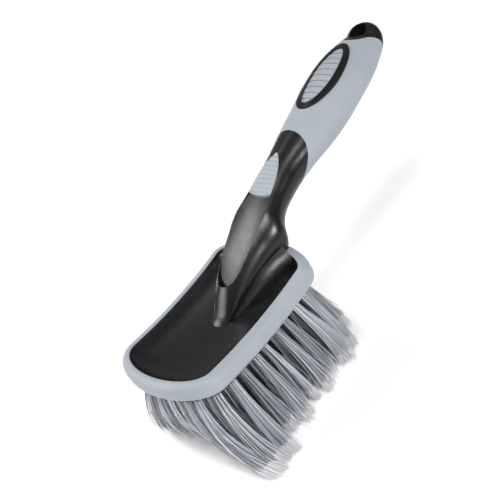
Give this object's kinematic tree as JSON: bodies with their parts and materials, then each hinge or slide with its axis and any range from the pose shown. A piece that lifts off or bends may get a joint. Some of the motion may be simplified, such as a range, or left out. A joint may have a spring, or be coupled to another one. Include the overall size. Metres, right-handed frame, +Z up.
{
  "type": "wheel brush",
  "caption": "Hand brush for washing wheels: contoured two-tone grip, scooped neck, dished oval head with a soft bumper rim and dense flared bristles.",
  "frame": {"origin": "middle of the head at the level of the rim's lowest point", "axes": "+X from the toe of the head towards the hanging end of the handle, +Y across the head, +Z up and away from the bristle tips"},
  "size_m": [0.285, 0.1144, 0.1409],
  "materials": {
    "hard_black": "satin moulded polypropylene",
    "soft_grey": "matt soft-touch elastomer",
    "block_black": "plain moulded polypropylene",
    "anchor_metal": "flat drawn strip",
    "bristle_grey": "crimped grey filament with paler flagged tips"
  },
  "bodies": {
    "root": {"handle_core": "hard_black", "end_cap": "hard_black", "thumb_ring": "hard_black", "grip_sleeve": "soft_grey", "thumb_pad": "soft_grey", "neck_pad": "soft_grey", "head_bumper": "soft_grey", "tuft_block": "block_black", "tuft_anchors": "anchor_metal", "tuft_row_01": "bristle_grey", "tuft_row_02": "bristle_grey", "tuft_row_03": "bristle_grey", "tuft_row_04": "bristle_grey", "tuft_row_05": "bristle_grey", "tuft_row_06": "bristle_grey", "tuft_row_07": "bristle_grey", "tuft_row_08": "bristle_grey", "tuft_row_09": "bristle_grey", "tuft_row_10": "bristle_grey", "tuft_row_11": "bristle_grey"}
  },
  "joints": []
}
